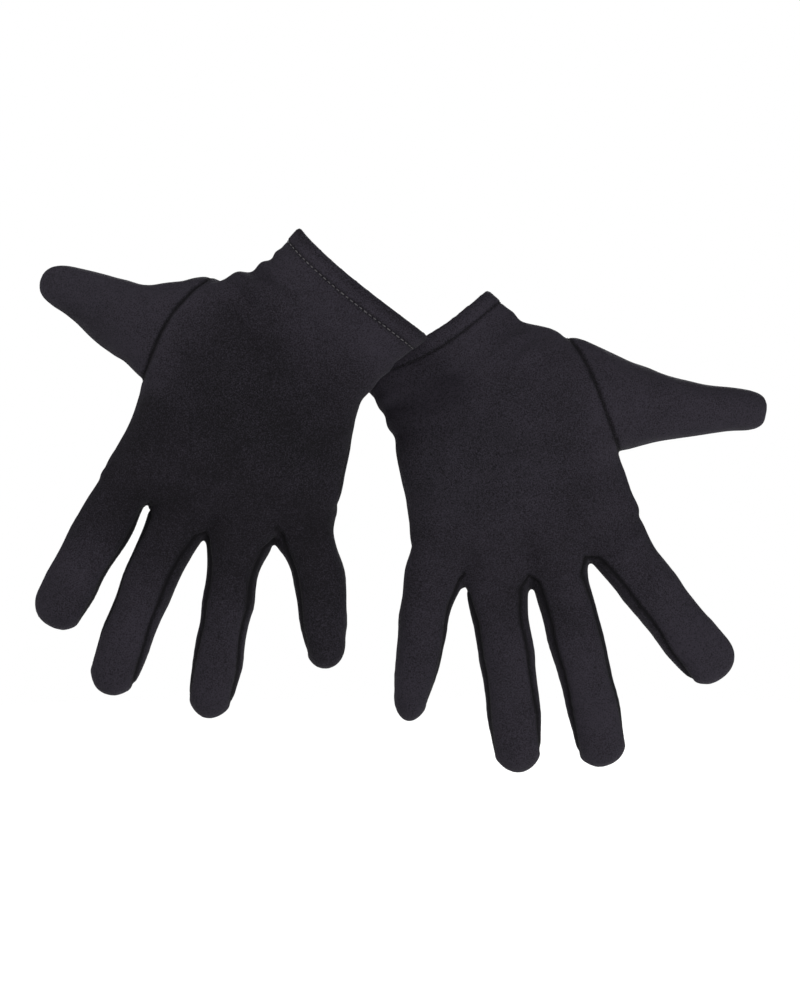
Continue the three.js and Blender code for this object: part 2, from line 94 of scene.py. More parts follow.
# Each glove, in millimetres and degrees:
#   rows: the hand from the cuff to the knuckles, as thumb-side edge, little-finger-side edge, height of the
#     palm side and thickness
#   thumb_seam: the two ends of the thumb's seam
#   seam_bulge, cuff_bow: how far that seam and the cuff's edge bow, and the share of their length where they
#     bow most
#   slack: how much blacker the back of the hand is painted: painted shade
#   crotches: the bottoms of the three webs, from the index finger on
# Each digit:
#   root, lean from straight down, length, and blunt: how blunt the tip is
#   sway: how far it lies off its straight axis at the shares SWAY_AT
#   stations of a thumb: reach, half width to each side, height of the palm side, thickness
#   tip_shift: how far a thumb's tip lies to the side
#   shaft, tip: half widths of a finger
#   sides: those that face a neighbour, thumb side first, each with its spread, how far the root spreads that
#     way, and its shows, how much of the side strip shows on the back
#   outer, rear: how far the root spreads on its free side, at the crotch and behind it
GLOVES = {
    "left": {
        "rows": [
            (-41.8, 112.1, 11.2, 66.5, 25.0, 27.0),
            (-57.0, 97.4, -1.7, 56.0, 22.0, 28.0),
            (-71.8, 92.0, -10.0, 47.8, 18.5, 30.0),
            (-87.0, 85.5, -17.0, 37.9, 13.5, 31.5),
            (-98.2, 70.0, -19.3, 28.7, 9.0, 32.0),
            (-107.6, 51.5, -20.8, 21.2, 5.0, 31.5),
            (-114.0, 33.1, -23.0, 11.2, 2.0, 30.0),
            (-122.3, 17.1, -25.9, -0.6, 0.3, 28.0),
            (-127.2, 7.0, -30.6, -9.0, -SINK, 25.5),
            (-120.0, -1.0, -37.0, -15.0, -SINK, 20.5),
        ],
        "thumb_seam": (-79.2, 92.9, -107.8, 50.5),
        "seam_bulge": (4.0, 0.45),
        "cuff_bow": (2.4, 0.36),
        "slack": 0.4,
        "crotches": ((-106.9, -3.4), (-83.3, -17.9), (-53.4, -18.7)),
        "thumb": {
            "root": (-93.5, 71.7), "lean": -108.5, "length": 63.2, "blunt": 2.3, "tip_shift": -1.4,
            "stations": [
                (-16, 24, 23, 15.5, 27), (-6, 24.2, 24, 12.5, 28), (5, 19, 25.5, 10.5, 27.5),
                (17, 13.6, 20.6, 7.5, 25), (29, 12.4, 17.4, 4.5, 22), (40, 11.8, 12.6, 2, 19.5),
                (50, 11.0, 8.6, 0.6, 17.5), (56, 10.4, 7.4, 0.4, 17),
            ],
        },
        "fingers": {
            "index": {
                "root": (-117.5, 1.2), "lean": -30.4, "length": 64.0, "shaft": 11.7, "tip": 11.4,
                "blunt": 2.3, "sides": (1,), "spread": (-0.4,), "shows": (0.9,),
                "sway": (-0.5, -0.7, -0.6, -0.2, 0.3),
            },
            "middle": {
                "root": (-96.1, -11.9), "lean": -22.9, "length": 77.3, "shaft": 11.3, "tip": 10.8,
                "blunt": 1.95, "sides": (-1, 1), "spread": (0.2, 3.2), "shows": (0.9, 4.2),
                "sway": (-0.3, -0.9, -0.6, -0.4, 0.4),
            },
            "ring": {
                "root": (-68.8, -19.5), "lean": -9.6, "length": 75.4, "shaft": 10.5, "tip": 9.9,
                "blunt": 2.05, "sides": (-1, 1), "spread": (4.0, 3.2), "shows": (2.0, 2.6),
                "sway": (-0.2, -0.2, -0.3, -0.3, -0.8),
            },
            "little": {
                "root": (-37.6, -14.6), "lean": 5.8, "length": 58.0, "shaft": 10.7, "tip": 8.8,
                "blunt": 2.1, "outer": -0.9, "sides": (-1,), "spread": (3.2,), "shows": (2.1,),
                "sway": (-0.2, 1.1, 1.4, 1.0, 0.8),
            },
        },
    },
    "right": {
        "rows": [
            (37.3, 88.4, -19.5, 56.5, -SINK, 21.0),
            (47.8, 79.4, -12.5, 44.4, -SINK, 23.0),
            (55.6, 74.4, -6.8, 35.8, -SINK, 24.5),
            (68.0, 69.9, -2.4, 25.0, -SINK, 28.0),
            (77.2, 54.9, -1.3, 16.3, -SINK, 30.0),
            (85.4, 36.7, 0.0, 10.4, -SINK, 30.5),
            (92.3, 19.7, 2.1, 1.1, -SINK, 29.5),
            (97.9, 3.6, 4.0, -10.0, -SINK, 27.5),
            (101.2, -8.4, 5.7, -21.5, -SINK, 25.0),
            (93.0, -18.0, 12.0, -30.0, -SINK, 20.5),
        ],
        "thumb_seam": (70.6, 68.7, 92.6, 20.5),
        "seam_bulge": (2.2, 0.3),
        "cuff_bow": (4.6, 0.5),
        "slack": 0.1,
        "crotches": ((80.4, -27.8), (55.7, -38.8), (26.8, -38.2)),
        "thumb": {
            "root": (81.6, 44.6), "lean": 83.9, "length": 74.8, "blunt": 2.8, "tip_shift": 0.6,
            "sway": (-0.3, -0.6, -0.9, -0.7, 0.2),
            "stations": [
                (-18, 22, 21.5, -SINK, 27), (-8, 24, 22.6, -SINK, 28), (0, 25, 20.5, -SINK, 28),
                (13, 22.9, 16.1, -SINK, 26), (30, 16.8, 12.2, -SINK, 22.5), (47, 12.2, 9.8, -SINK, 19),
                (60, 9.6, 9.4, -SINK, 17), (68, 8.9, 8.7, -SINK, 16),
            ],
        },
        "fingers": {
            "index": {
                "root": (90.7, -19.6), "lean": 39.5, "length": 73.6, "shaft": 11.9, "tip": 11.9,
                "blunt": 2.25, "outer": 3.6, "rear": 4.0, "sides": (-1,), "spread": (1.2,),
                "shows": (4.2,), "sway": (0.5, 0.3, 0.1, -0.2, 0.3),
            },
            "middle": {
                "root": (68.2, -33.3), "lean": 13.1, "length": 82.9, "shaft": 11.4, "tip": 11.0,
                "blunt": 2.2, "sides": (1, -1), "spread": (-1.4, 1.4), "shows": (1.3, 2.9),
                "sway": (0.2, 0.4, 1.0, 1.3, 0.8),
            },
            "ring": {
                "root": (40.9, -38.9), "lean": 7.0, "length": 78.3, "shaft": 11.6, "tip": 10.7,
                "blunt": 1.9, "sides": (1, -1), "spread": (2.0, 2.4), "shows": (3.4, 1.8),
                "sway": (0.3, 0.8, 1.1, 1.0, 0.8),
            },
            "little": {
                "root": (14.5, -32.5), "lean": -10.2, "length": 63.5, "shaft": 10.1, "tip": 7.7,
                "blunt": 1.8, "outer": 2.3, "sides": (1,), "spread": (2.5,), "shows": (1.0,),
                "sway": (-0.8, -1.0, -0.3, 0.0, -0.2),
            },
        },
    },
}
FINGERS = ("index", "middle", "ring", "little")


# ---- Small mathematics ----

def step(low, high, x):
    """Rises smoothly from 0 at low to 1 at high."""
    t = np.clip((x - low) / (high - low), 0.0, 1.0)
    return t * t * (3 - 2 * t)


def hill(x, width):
    """A smooth hill, 1 high at x = 0."""
    return np.exp(-(x / width) ** 2)


def arch(share, peak):
    """An arch over the shares from 0 to 1, 1 high at the peak's share."""
    return np.sin(math.pi * share ** (math.log(0.5) / math.log(peak)))


def smooth_curve(knots, values, at):
    """A smooth curve through the values at the knots, read at other places."""
    knots, values = np.asarray(knots, float), np.asarray(values, float)
    flat = values.ndim == 1
    if flat:
        values = values[:, None]
    slope = np.gradient(values, knots, axis=0)
    i = np.clip(np.searchsorted(knots, at) - 1, 0, len(knots) - 2)
    width = knots[i + 1] - knots[i]
    t = ((at - knots[i]) / width)[:, None]
    width = width[:, None]
    a, b, da, db = values[i], values[i + 1], slope[i] * width, slope[i + 1] * width
    inside = ((2 * t**3 - 3 * t**2 + 1) * a + (t**3 - 2 * t**2 + t) * da
              + (3 * t**2 - 2 * t**3) * b + (t**3 - t**2) * db)
    return inside[:, 0] if flat else inside


class Noise:
    """Smooth random values in space, the same at every run."""

    def __init__(self, seed):
        self.grid = np.random.default_rng(seed).uniform(-1, 1, (24, 24, 24))

    def at(self, points, size):
        p = np.asarray(points) / size
        cell = np.floor(p).astype(int)
        f = p - cell
        f = f * f * (3 - 2 * f)
        total = np.zeros(len(p))
        for corner in itertools.product((0, 1), repeat=3):
            i, j, k = ((cell + corner) % len(self.grid)).T
            total += np.prod(np.where(corner, f, 1 - f), axis=1) * self.grid[i, j, k]
        return total


COARSE, FINE = Noise(11), Noise(23)


def unit(v):
    """Vectors one unit long."""
    return v / np.maximum(np.linalg.norm(v, axis=-1, keepdims=True), 1e-9)


def line_frame(line, towards):
    """Start, direction and length of a straight line in plan, and its side that faces the given way."""
    start, end = np.array(line[:2], float), np.array(line[2:4], float)
    length = np.linalg.norm(end - start)
    across = (end - start) / length
    side = np.array([across[1], -across[0]])
    return start, across, length, side if side @ towards >= 0 else -side


# ---- The frame of a digit: u to its tip, v across ----

def digit_axes(digit):
    """Directions in plan along a digit to its tip, and across it."""
    lean = math.radians(digit["lean"])
    return np.array([math.sin(lean), -math.cos(lean)]), np.array([math.cos(lean), math.sin(lean)])


def sway(digit, reach):
    """How far the middle of a digit lies off its straight axis at a reach."""
    if "sway" not in digit:
        return np.zeros_like(reach)
    at = np.array([-0.1, *SWAY_AT]) * digit["length"]
    return smooth_curve(at, [0.0, *digit["sway"]], np.clip(reach, at[0], at[-1]))


def digit_uv(digit, points):
    """Reach along a digit from its root, and distance across it from its middle."""
    u, v = digit_axes(digit)
    away = points[:, :2] - np.array(digit["root"])
    return away @ u, away @ v - sway(digit, away @ u)


def digit_point(digit, reach, across, z=0.0):
    """The point at a reach along a digit and a distance across it."""
    u, v = digit_axes(digit)
    at = np.array(digit["root"]) + reach * u + (across + sway(digit, np.array([float(reach)]))[0]) * v
    return np.array([at[0], at[1], z])


def digit_profile(digit, reach):
    """Half width to the minus side and the plus side, palm-side height and thickness, at each reach."""
    if "stations" in digit:
        s = np.array(digit["stations"], float)
    else:
        s = np.array(finger_stations(digit))
    return smooth_curve(s[:, 0], s[:, 1:], np.clip(reach, s[0, 0], s[-1, 0]))


def finger_stations(finger):
    """A finger's stations: it spreads at its root towards its neighbours and gets slimmer to its tip."""
    shaft, tip, length = finger["shaft"], finger["tip"], finger["length"]
    spread = dict(zip(finger["sides"], finger["spread"]))
    minus, plus = (spread.get(side, finger.get("outer", 0.5)) for side in (-1, 1))
    behind_minus, behind_plus = (spread.get(side, finger.get("rear", 0.5)) for side in (-1, 1))
    slim = shaft * 0.4 + tip * 0.6 + 0.15
    return [
        (-24, shaft + behind_minus - 0.5, shaft + behind_plus - 0.5, -SINK, 23.0),
        (-10, shaft + behind_minus + 0.8, shaft + behind_plus + 0.8, -SINK, 22.0),
        (0, shaft + minus, shaft + plus, -SINK, 20.0),
        (10, shaft + 0.25 + 0.2 * minus, shaft + 0.25 + 0.2 * plus, -SINK, 18.4),
        (length * 0.36, shaft + 0.1, shaft + 0.1, -SINK, 17.8),
        (length * 0.55, shaft - 0.25, shaft - 0.25, -SINK, 17.2),
        (length * 0.70, slim, slim, -SINK, 17.0),
        (length - TIP_LENGTH, tip, tip, -SINK + 0.2, 16.2),
    ]


# ---- The skin of a glove ----

def section(edge_a, edge_b, bottom, thickness, sides, squareness):
    """A rounded cross-section between two edge points in plan."""
    angle = 2 * math.pi * (np.arange(sides) + 0.5) / sides
    c = np.sign(np.cos(angle)) * np.abs(np.cos(angle)) ** (2 / squareness)
    s = np.sign(np.sin(angle)) * np.abs(np.sin(angle)) ** (2 / squareness)
    middle, half = (edge_a + edge_b) / 2, (edge_b - edge_a) / 2
    return np.column_stack([middle + half * c[:, None], bottom + thickness / 2 * (1 + s)])


def closed_loft(rings):
    """Vertices and faces of a closed body through the rings."""
    n = len(rings[0])
    verts = np.concatenate(rings + [rings[0].mean(0)[None], rings[-1].mean(0)[None]])
    faces = []
    for r in range(len(rings) - 1):
        for k in range(n):
            j = (k + 1) % n
            faces.append((r * n + k, r * n + j, (r + 1) * n + j, (r + 1) * n + k))
    start, end, last = len(rings) * n, len(rings) * n + 1, (len(rings) - 1) * n
    for k in range(n):
        j = (k + 1) % n
        faces.append((start, j, k))
        faces.append((end, last + k, last + j))
    return verts, faces


def hand_rings(glove):
    """Cross-sections of the hand, from beyond the cuff's edge to the rounded knuckle end."""
    rows = np.array(glove["rows"], float)
    rows = np.vstack([rows[0] + (rows[0] - rows[1]) * 0.5, rows])
    middles = (rows[:, :2] + rows[:, 2:4]) / 2
    along = np.concatenate([[0], np.cumsum(np.linalg.norm(np.diff(middles, axis=0), axis=1))])
    at = np.linspace(0, along[-1], int(along[-1] / 2.0))
    rings = []
    for reach, row in zip(at, smooth_curve(along, rows, at)):
        left = (along[-1] - reach) / KNUCKLE_ROUND
        close = 1.0 if left >= 1 else (1 - (1 - left) ** 2.4) ** (1 / 2.4) * 0.999 + 0.001
        middle = row[4] + row[5] / 2
        thick = row[5] * (0.55 + 0.45 * close)
        rings.append(section(row[:2], row[2:4], middle - thick / 2, thick, **HAND_RING))
    return rings


def digit_rings(digit):
    """Cross-sections of a digit, from inside the hand to its rounded tip."""
    first = digit["stations"][0][0] if "stations" in digit else FINGER_START
    shaft_end, blunt = digit["length"] - TIP_LENGTH, digit["blunt"]
    shaft_at = np.arange(first, shaft_end, 1.6)
    turn = np.linspace(0, math.pi / 2, 11)
    reach = np.concatenate([shaft_at, shaft_end + TIP_LENGTH * np.sin(turn)])
    full = np.ones(len(shaft_at))
    close = np.concatenate([full, np.maximum(1 - np.sin(turn) ** blunt, 0) ** (1 / blunt)])
    close_z = np.concatenate([full, np.maximum(1 - np.sin(turn) ** 2.1, 0) ** (1 / 2.1)])
    shift = digit.get("tip_shift", 0.0)
    rings = []
    for u, (minus, plus, bottom, thick), c, cz in zip(reach, digit_profile(digit, reach), close, close_z):
        c, cz = max(c, 0.02), max(cz, 0.02)
        mid_v = (plus - minus) / 2 * c + shift * (1 - c)
        half = (plus + minus) / 2 * c
        a, b = digit_point(digit, u, mid_v - half)[:2], digit_point(digit, u, mid_v + half)[:2]
        rings.append(section(a, b, bottom + thick / 2 - thick * cz / 2, thick * cz, **DIGIT_RING))
    return rings


def remeshed(parts):
    """One even skin around the bodies, as triangles."""
    verts, faces, base = [], [], 0
    for v, f in parts:
        verts.append(v)
        faces += [tuple(i + base for i in face) for face in f]
        base += len(v)
    mesh = bpy.data.meshes.new("skin")
    mesh.from_pydata(np.concatenate(verts).tolist(), [], faces)
    obj = in_scene("skin", mesh)
    turned_outwards(mesh)
    modifier = obj.modifiers.new("even", "REMESH")
    modifier.mode = "VOXEL"
    modifier.voxel_size = VOXEL
    made = bpy.data.meshes.new_from_object(obj.evaluated_get(bpy.context.evaluated_depsgraph_get()))
    points = np.empty(len(made.vertices) * 3)
    made.vertices.foreach_get("co", points)
    made.calc_loop_triangles()
    tris = np.empty(len(made.loop_triangles) * 3, np.int64)
    made.loop_triangles.foreach_get("vertices", tris)
    bpy.data.objects.remove(obj)
    return points.reshape(-1, 3), tris.reshape(-1, 3)


def turned_outwards(mesh):
    """Turns the bodies that are inside out."""
    bm = bmesh.new()
    bm.from_mesh(mesh)
    for island in islands(bm):
        if signed_volume(island) < 0:
            bmesh.ops.reverse_faces(bm, faces=island)
    bm.to_mesh(mesh)
    bm.free()


def islands(bm):
    """The faces of each separate body."""
    left, found = set(bm.faces), []
    while left:
        stack, island = [left.pop()], []
        while stack:
            face = stack.pop()
            island.append(face)
            for edge in face.edges:
                for other in edge.link_faces:
                    if other in left:
                        left.discard(other)
                        stack.append(other)
        found.append(island)
    return found


def signed_volume(faces):
    """Negative for a body that is inside out."""
    total = 0.0
    for face in faces:
        v = [x.co for x in face.verts]
        for k in range(1, len(v) - 1):
            total += v[0].dot(v[k].cross(v[k + 1]))
    return total


def directed_edges(tris):
    """The edges of the triangles, in the direction that each runs round them."""
    return np.concatenate([tris[:, [0, 1]], tris[:, [1, 2]], tris[:, [2, 0]]])


def edges_of(tris):
    """Each edge once."""
    return np.unique(np.sort(directed_edges(tris), axis=1), axis=0)


def either_way(a, b):
    """An edge, the same in both directions."""
    return (min(a, b), max(a, b))


def smoothed(points, tris, rounds, strength=0.55, hold=0.57):
    """Evens out the skin without shrinking it."""
    edges = edges_of(tris)
    count = np.bincount(edges.ravel(), minlength=len(points))[:, None]
    for k in range(rounds * 2):
        move = summed(points, edges) / count - points
        points = points + move * (strength if k % 2 == 0 else -hold)
    return points


def summed(values, edges):
    """For each vertex, the sum of the values at its neighbours."""
    to = np.concatenate([edges[:, 0], edges[:, 1]])
    given = values[np.concatenate([edges[:, 1], edges[:, 0]])]
    return np.column_stack([np.bincount(to, column, len(values)) for column in given.T])


def levelled(glove, points, tris, rounds=260):
    """Lets the back of the hand run smoothly into the fingers and the thumb, without valleys between them."""
    behind = -line_field(*knuckle_line(glove), points)
    beyond = thumb_field(glove, points)
    off_middle = np.abs(points[:, 2] - hand_middle(glove, points))
    knuckles = step(-4, 3, behind) * (1 - step(24, 36, behind)) * step(1.0, 6.0, off_middle)
    ball = step(-40, -28, beyond) * (1 - step(3, 10, beyond)) * step(3, 9, cuff_field(glove, points))
    weight = np.maximum(knuckles * step(4, 12, -beyond), ball * step(0.5, 5.0, off_middle))[:, None]
    edges = edges_of(tris)
    count = np.bincount(edges.ravel(), minlength=len(points))[:, None]
    height = points[:, 2:3].copy()
    for _ in range(rounds):
        height += (summed(height, edges) / count - height) * weight * 0.8
    return np.column_stack([points[:, :2], height])


def vertex_normals(points, tris):
    """The way the skin faces at each vertex."""
    a, b, c = points[tris[:, 0]], points[tris[:, 1]], points[tris[:, 2]]
    face = np.cross(b - a, c - a)
    corners = tris.T.ravel()
    total = [np.bincount(corners, np.tile(column, 3), len(points)) for column in face.T]
    return unit(np.column_stack(total))


# ---- Where the cloth is cut: fields over the skin that are zero along each line ----

def cuff_frame(glove):
    """The straight line across the cuff's edge, and its side towards the fingers."""
    return line_frame(glove["rows"][0], np.array([0, -1]))


def cuff_field(glove, p):
    """Distance from the cuff's edge towards the fingers."""
    start, across, width, inward = cuff_frame(glove)
    away = p[:, :2] - start
    bow, peak = glove["cuff_bow"]
    return away @ inward - bow * arch(np.clip(away @ across / width, 0.001, 1), peak)


def thumb_frame(glove):
    """The straight line between the ends of the thumb's seam, and its side towards the thumb."""
    return line_frame(glove["thumb_seam"], digit_axes(glove["thumb"])[0])


def thumb_field(glove, p):
    """Distance beyond the thumb's seam, which bows outwards on the back and inwards on the palm side."""
    start, across, length, outward = thumb_frame(glove)
    s, out = (p[:, :2] - start) @ across, (p[:, :2] - start) @ outward
    bow, peak = glove["seam_bulge"]
    share = np.clip(s / length, 0, 1)
    back = bow * arch(share, peak) ** 1.2
    front = -PALM_BULGE * arch(share, 0.5) ** 1.3
    mix = step(-5, 5, p[:, 2] - hand_middle(glove, p))
    return out - (back * mix + front * (1 - mix)) - 2.0 * np.maximum(0, s - (length + 1.5))


def hand_middle(glove, p):
    """Height of the middle of the hand at each point."""
    rows = np.array(glove["rows"], float)
    centres = (rows[:, :2] + rows[:, 2:4]) / 2
    axis = unit(centres[-1] - centres[0])
    along = (centres - centres[0]) @ axis
    return np.interp((p[:, :2] - centres[0]) @ axis, along, rows[:, 4] + rows[:, 5] / 2)


def nearest_finger(glove, p):
    """Which finger's axis each point is nearest to."""
    away = []
    for name in FINGERS:
        finger = glove["fingers"][name]
        u, v = digit_uv(finger, p)
        past = np.maximum(0, u - finger["length"]) + np.maximum(0, -u - ROOT_IN_HAND)
        away.append(np.hypot(v, past))
    return np.argmin(np.array(away), axis=0)


def crotch(glove, first, second, p, n):
    """The bottom of the web between two fingers, in plan: the skin there faces the fingertips."""
    a, b = glove["fingers"][first], glove["fingers"][second]
    toward_b = a["sides"][-1]
    ua, va = digit_uv(a, p)
    ub, vb = digit_uv(b, p)
    between = (va * toward_b > 0) & (vb * toward_b < 0) & (np.abs(ua + ub) < 40)
    between &= np.abs(p[:, 2] - MID_Z) < 3
    facing = np.where(between, n[:, :2] @ unit(digit_axes(a)[0] + digit_axes(b)[0]), -1.0)
    least = min(0.85, np.sort(facing)[-4])  # at least the four points that face them best
    return p[facing >= least, :2].mean(0)


def deepened(glove, points, tris):
    """Draws the skin between two fingers back to the bottom of the web there."""
    shift, normals = np.zeros((len(points), 2)), vertex_normals(points, tris)
    for k, target in enumerate(glove["crotches"]):
        found = crotch(glove, FINGERS[k], FINGERS[k + 1], points, normals)
        away = np.sum((points[:, :2] - found) ** 2, axis=1)
        shift += (np.array(target) - found) * np.exp(-away / (2 * WEB_REACH**2))[:, None]
    return np.column_stack([points[:, :2] + shift, points[:, 2]])


def knuckle_line(glove):
    """The line across the finger roots, just past each crotch, in plan, and the way the fingers point."""
    forward = unit(sum(digit_axes(glove["fingers"][name])[0] for name in FINGERS))
    deep = [np.array(bottom) + forward for bottom in glove["crotches"]]
    ends = []
    for name, near in (("index", deep[0]), ("little", deep[-1])):
        finger = glove["fingers"][name]
        ends.append(near - finger["sides"][0] * digit_axes(finger)[1] * PAST_HAND)
    return np.array([ends[0], *deep, ends[1]]), forward


def line_field(line, forward, p):
    """Signed distance in plan from a line of points, positive on the forward side."""
    best, value = np.full(len(p), 1e9), np.zeros(len(p))
    for a, b in zip(line[:-1], line[1:]):
        d = b - a
        normal = unit(np.array([d[1], -d[0]]))
        if normal @ forward < 0:
            normal = -normal
        t = np.clip(((p[:, :2] - a) @ d) / (d @ d), 0, 1)
        away = p[:, :2] - (a + t[:, None] * d)
        distance = np.linalg.norm(away, axis=1)
        closer = distance < best - 1e-9
        best = np.where(closer, distance, best)
        value = np.where(closer, np.where((p[:, :2] - a) @ normal >= 0, distance, -distance), value)
    return value


def strip_field(glove, p, nearest):
    """Positive on the side strips between the fingers and on the webs that join them."""
    field = np.full(len(p), -FIELD_LIMIT)
    for k, name in enumerate(FINGERS):
        finger = glove["fingers"][name]
        length = finger["length"] - 3.0  # the strips end short of the tip
        u, v = digit_uv(finger, p)
        profile, root = digit_profile(finger, u), digit_profile(finger, np.zeros(1))[0]
        taper = np.clip(1 - (np.clip(u, 0, None) / length) ** 2.4, -0.3, 1)
        for side, shows in zip(finger["sides"], finger["shows"]):
            column = 1 if side > 0 else 0
            on_finger = profile[:, column] - shows * taper
            on_web = root[column] - shows - u * (shows + 1.6) / 5.0
            mine = (nearest == k) & (v * side > 0)
            beyond = v * side - np.where(u >= 0, on_finger, on_web)
            field = np.where(mine, np.clip(beyond, -FIELD_LIMIT, FIELD_LIMIT), field)
    return field


def fields(glove, p, line, forward):
    """For each point, how far it lies beyond each line that the cloth is cut along."""
    nearest = nearest_finger(glove, p)
    thumb = thumb_field(glove, p)
    on_thumb = thumb > -2
    knuckle = np.where(on_thumb, -FIELD_LIMIT, line_field(line, forward, p))
    strip = np.where(on_thumb, -FIELD_LIMIT, strip_field(glove, p, nearest))
    blend = step(0, 22, -knuckle)
    middle = p[:, 2] - (MID_Z * (1 - blend) + hand_middle(glove, p) * blend)
    cuff = cuff_field(glove, p)
    return {"cuff": cuff, "thumb": thumb, "knuckle": knuckle, "strip": strip, "middle": middle}


# ---- Cutting the skin ----

def cut(points, tris, field):
    """Puts vertices along field = 0, and splits the triangles that cross it."""
    edges = edges_of(tris)
    points, field = drawn_on(points, edges, field)
    fa, fb = field[edges[:, 0]], field[edges[:, 1]]
    cross = fa * fb < 0
    a, b = edges[cross, 0], edges[cross, 1]
    t = (field[a] / (field[a] - field[b]))[:, None]
    fresh = points[a] + (points[b] - points[a]) * t
    number = {(int(i), int(j)): len(points) + k for k, (i, j) in enumerate(zip(a, b))}
    sign = np.sign(np.concatenate([field, np.zeros(len(fresh))]))
    s = sign[tris]
    mixed = (s.min(1) < 0) & (s.max(1) > 0)
    extra = []
    for tri in tris[mixed]:
        extra += split(tri.tolist(), sign, number)
    smaller = np.array(extra, np.int64).reshape(-1, 3)
    return np.concatenate([points, fresh]), np.concatenate([tris[~mixed], smaller])


def drawn_on(points, edges, field):
    """Moves the vertices that lie close to field = 0 onto it."""
    fa, fb = field[edges[:, 0]], field[edges[:, 1]]
    cross = fa * fb < 0
    a, b, fa, fb = edges[cross, 0], edges[cross, 1], fa[cross], fb[cross]
    t = fa / (fa - fb)
    hit = points[a] + (points[b] - points[a]) * t[:, None]
    best = np.full(len(points), CLOSE_SHARE)
    target = points.copy()
    for ends, share in ((a, t), (b, 1 - t)):
        order = np.argsort(-share)
        for i in order[share[order] < CLOSE_SHARE]:
            if share[i] < best[ends[i]]:
                best[ends[i]] = share[i]
                target[ends[i]] = hit[i]
    return target, np.where(best < CLOSE_SHARE, 0.0, field)


def split(tri, sign, number):
    """The smaller triangles of one that the line crosses."""
    for k in range(3):
        a, b, c = tri[k], tri[(k + 1) % 3], tri[(k + 2) % 3]
        if sign[a] == 0:
            m = number[either_way(b, c)]
            return [(a, b, m), (a, m, c)]
    for k in range(3):
        a, b, c = tri[k], tri[(k + 1) % 3], tri[(k + 2) % 3]
        if sign[b] == sign[c] != sign[a]:
            m, n = number[either_way(a, b)], number[either_way(a, c)]
            return [(a, m, n), (m, b, c), (m, c, n)]
    return [tuple(tri)]


def compact(points, tris, *extra):
    """Only the vertices that the triangles use, with their other values."""
    used, index = np.unique(tris, return_inverse=True)
    return (points[used], index.reshape(-1, 3), *[e[used] for e in extra])


def labelled(glove, points, tris, line, forward):
    """The name of the cloth piece that each triangle belongs to."""
    centre = points[tris].mean(1)
    f = fields(glove, centre, line, forward)
    nearest = nearest_finger(glove, centre)
    name = np.full(len(tris), "trank", dtype=object)
    for k, finger_name in enumerate(FINGERS):
        finger = glove["fingers"][finger_name]
        _, v = digit_uv(finger, centre)
        mine = nearest == k
        beyond = mine & (f["knuckle"] > 0)
        name[beyond] = "index_stall" if finger_name == "index" else finger_name + "_back"
        if finger_name != "index":
            name[beyond & (f["middle"] < 0)] = finger_name + "_front"
        for n, side in enumerate(finger["sides"]):
            far = finger_name == "index" or n == 1
            strip = mine & (f["strip"] > 0) & (v * side > 0)
            name[strip & (f["knuckle"] > 0)] = f"{finger_name}_strip_{'far' if far else 'near'}"
            first = k if far else k - 1
            name[strip & (f["knuckle"] <= 0)] = f"web_{FINGERS[first]}_{FINGERS[first + 1]}"
    name[f["thumb"] > 0] = "thumb"
    name[f["cuff"] < HEM_WIDTH] = "cuff_hem"
    return name


def tidied_labels(tris, name):
    """Gives stray triangles the name of the piece around them, so that each piece is in one part."""
    for _ in range(3):
        for label in sorted(set(name)):
            mine = np.where(name == label)[0]
            groups = parts_of(tris[mine])
            if len(groups) < 2:
                continue
            largest = max(groups, key=len)
            for group in groups:
                if group is largest:
                    continue
                touch = np.isin(tris, tris[mine[group]]).sum(1) >= 2
                touch[mine] = False
                others = list(name[touch])
                if others:
                    name[mine[group]] = max(sorted(set(others)), key=others.count)
    return name


def parts_of(tris):
    """Groups of triangles joined through shared edges."""
    owner = {}
    parent = list(range(len(tris)))

    def top(i):
        while parent[i] != i:
            parent[i] = parent[parent[i]]
            i = parent[i]
        return i

    for i, tri in enumerate(tris.tolist()):
        for k in range(3):
            key = either_way(tri[k], tri[(k + 1) % 3])
            if key in owner:
                parent[top(i)] = top(owner[key])
            else:
                owner[key] = i
    groups = {}
    for i in range(len(tris)):
        groups.setdefault(top(i), []).append(i)
    return list(groups.values())


# ---- Folds, seams and the swell of the hand inside ----

def swell(glove, p, n, f):
    """How far each point of the skin moves outwards, in millimetres."""
    away = UNEVEN_BROAD * COARSE.at(p, 15) + UNEVEN_FINE * FINE.at(p, 6.5)
    back = step(-0.2, 0.5, n[:, 2])
    for name in FINGERS:
        finger = glove["fingers"][name]
        u, v = digit_uv(finger, p)
        near = 1 - step(7, 17, np.abs(v))
        away += back * near * KNUCKLE_RISE * hill(u + KNUCKLE_BEHIND, 8.5) * hill(v, 9)
        away += near * finger_folds(finger, u, p, n)
    away += wrist_folds(glove, p, f["cuff"])
    away += crotch_folds(glove, p, n)
    away += thumb_folds(p, f["thumb"])
    return away - grooves(f, n)


def finger_folds(finger, u, p, n):
    """Soft swellings at the two finger joints, with shallow creases across them, and slanting pulls."""
    away = np.zeros(len(p))
    for share, rise in FINGER_JOINTS:
        at = u - share * finger["length"]
        crease = np.sin(at * 1.45 + 1.3 * COARSE.at(p + 40, 9))
        on_back = 0.35 + 0.65 * np.maximum(n[:, 2], 0)
        away += rise * hill(at, 7.0) + CREASE_RISE * crease * hill(at, 5.0) * on_back
    slanted = np.column_stack([p[:, 0] + 0.5 * u, p[:, 1] * 0.55, p[:, 2] * 0.5])
    return (away + PULL_RISE * FINE.at(slanted + 60, 5.2)) * step(2, 12, u)


